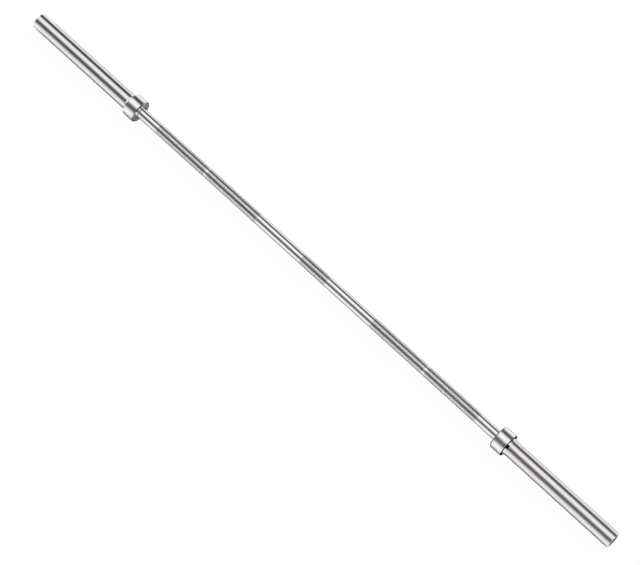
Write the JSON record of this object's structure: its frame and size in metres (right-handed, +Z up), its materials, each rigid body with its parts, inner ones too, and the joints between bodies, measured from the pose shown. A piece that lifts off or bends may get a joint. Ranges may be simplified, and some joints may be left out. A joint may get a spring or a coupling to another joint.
{
  "type": "olympic barbell",
  "caption": "Long chromed steel lifting bar with knurled grips, a centre knurl and a free-turning collared sleeve at each end for weight plates.",
  "frame": {"origin": "on the bar's axis, halfway along it", "axes": "+X along the bar towards the right sleeve, +Z up, +Y away from the lifter"},
  "size_m": [2.13, 0.067, 0.067],
  "materials": {
    "shaft_chrome": "polished",
    "sleeve_chrome": "satin",
    "collar_chrome": "polished",
    "lock_ring_chrome": "polished",
    "thrust_ring_steel": "satin",
    "seal_rubber": "matte",
    "bushing_bronze": "satin",
    "washer_steel": "satin",
    "snap_ring_steel": "satin",
    "cap_steel": "satin"
  },
  "bodies": {
    "shaft": {"shaft": "shaft_chrome", "left_shaft_snap_ring": "snap_ring_steel", "right_shaft_snap_ring": "snap_ring_steel"},
    "left_sleeve": {"left_sleeve_tube": "sleeve_chrome", "left_collar": "collar_chrome", "left_lock_ring": "lock_ring_chrome", "left_inner_thrust_ring": "thrust_ring_steel", "left_dust_seal": "seal_rubber", "left_inner_bushing": "bushing_bronze", "left_outer_bushing": "bushing_bronze", "left_end_cap": "cap_steel", "left_end_cap_ring": "snap_ring_steel"},
    "left_washer": {"left_outer_thrust_washer": "washer_steel"},
    "right_sleeve": {"right_sleeve_tube": "sleeve_chrome", "right_collar": "collar_chrome", "right_lock_ring": "lock_ring_chrome", "right_inner_thrust_ring": "thrust_ring_steel", "right_dust_seal": "seal_rubber", "right_inner_bushing": "bushing_bronze", "right_outer_bushing": "bushing_bronze", "right_end_cap": "cap_steel", "right_end_cap_ring": "snap_ring_steel"},
    "right_washer": {"right_outer_thrust_washer": "washer_steel"}
  },
  "joints": [
    {"name": "left_sleeve_spin", "type": "hinge", "parent": "shaft", "child": "left_sleeve", "pos_m": [-0.6625, 0, 0], "axis": [1, 0, 0], "continuous": true},
    {"name": "left_washer_spin", "type": "hinge", "parent": "shaft", "child": "left_washer", "pos_m": [-1.0421, 0, 0], "axis": [1, 0, 0], "continuous": true},
    {"name": "right_sleeve_spin", "type": "hinge", "parent": "shaft", "child": "right_sleeve", "pos_m": [0.6625, 0, 0], "axis": [1, 0, 0], "continuous": true},
    {"name": "right_washer_spin", "type": "hinge", "parent": "shaft", "child": "right_washer", "pos_m": [1.0421, 0, 0], "axis": [1, 0, 0], "continuous": true}
  ]
}
